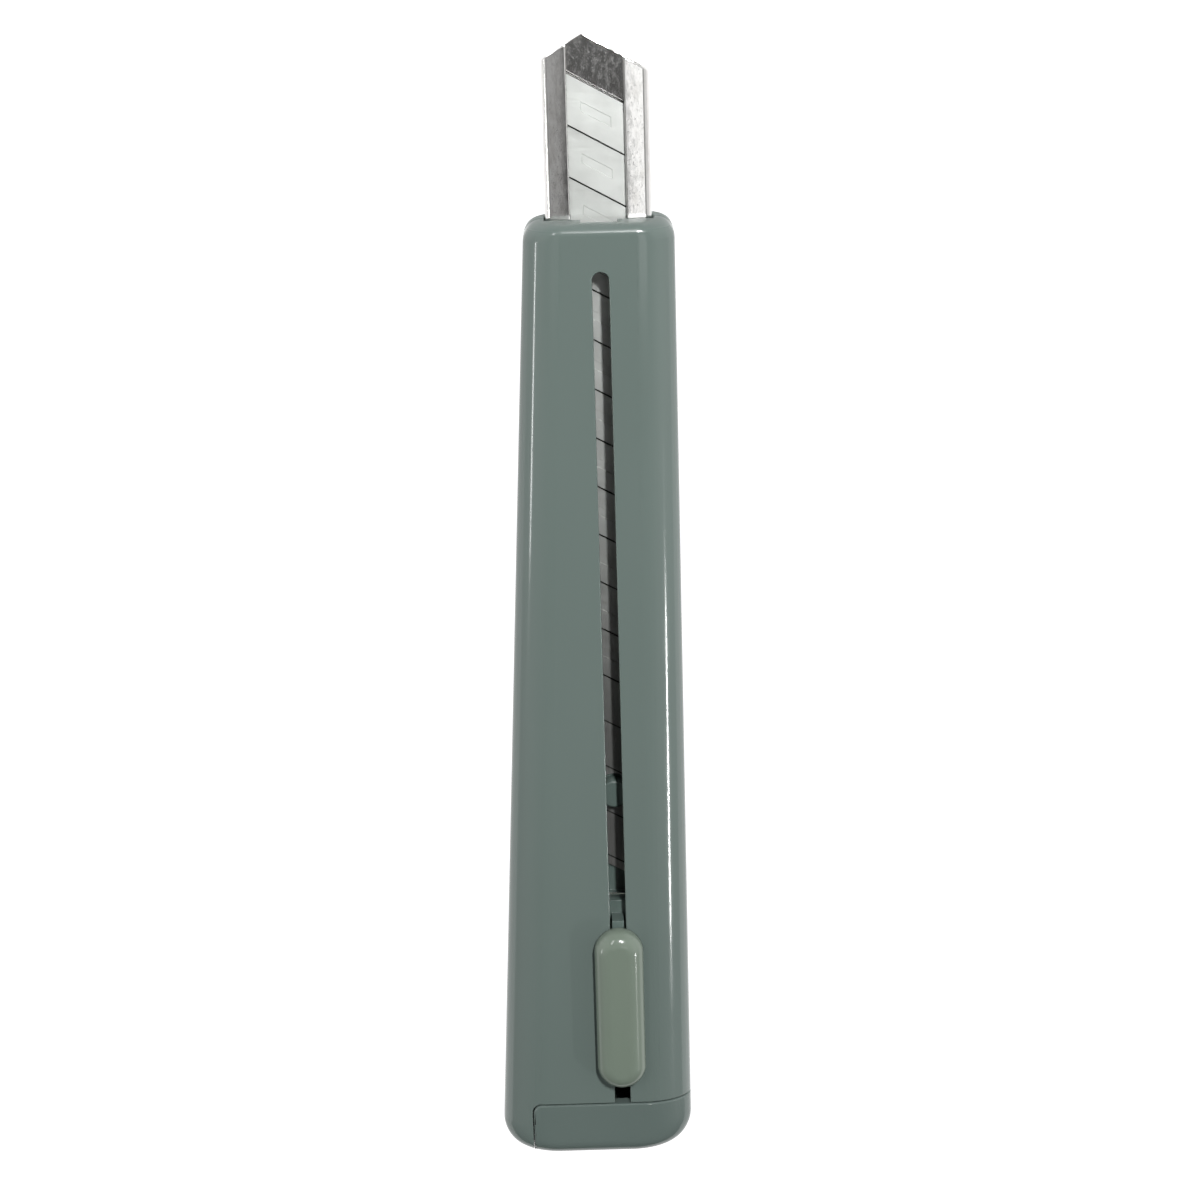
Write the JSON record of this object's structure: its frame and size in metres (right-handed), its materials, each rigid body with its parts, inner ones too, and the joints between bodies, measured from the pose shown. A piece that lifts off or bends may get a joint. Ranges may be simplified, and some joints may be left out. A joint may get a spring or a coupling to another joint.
{
  "type": "utility knife",
  "caption": "Slim snap-off utility knife with a flared plastic casing, a folded steel blade channel, a thumb slide with click stops and a pull-off tail cap.",
  "frame": {"origin": "middle of the knife's footprint, on the flat back face that it lies on", "axes": "+Y along the blade towards its tip, +Z out of the front face that carries the thumb button, +X to the right seen from the front with the blade up"},
  "size_m": [0.0202, 0.1178, 0.012],
  "materials": {
    "casing_plastic": "moulded grey-green plastic with a smooth gloss",
    "cap_plastic": "the same moulded grey-green plastic",
    "folded_steel": "bright folded strip steel with fine rolling lines and scuffs",
    "blade_steel": "satin ground blade steel",
    "carrier_plastic": "plain moulded plastic",
    "button_plastic": "satin sage-green plastic",
    "spring_steel": "bright rolled spring steel"
  },
  "bodies": {
    "casing": {"front_shell": "casing_plastic", "back_shell": "casing_plastic", "blade_channel": "folded_steel"},
    "slide": {"blade_carrier": "carrier_plastic", "thumb_button": "button_plastic", "lock_spring": "spring_steel", "snap_off_blade": "blade_steel"},
    "cap": {"tail_cap": "cap_plastic"}
  },
  "joints": [
    {"name": "blade_slide", "type": "slide", "parent": "casing", "child": "slide", "axis": [0, 1, 0], "range_m": [0, 0.0675], "deforming": ["lock_spring"]},
    {"name": "cap_pull", "type": "slide", "parent": "casing", "child": "cap", "axis": [0, -1, 0], "range_m": [0, 0.016]}
  ]
}
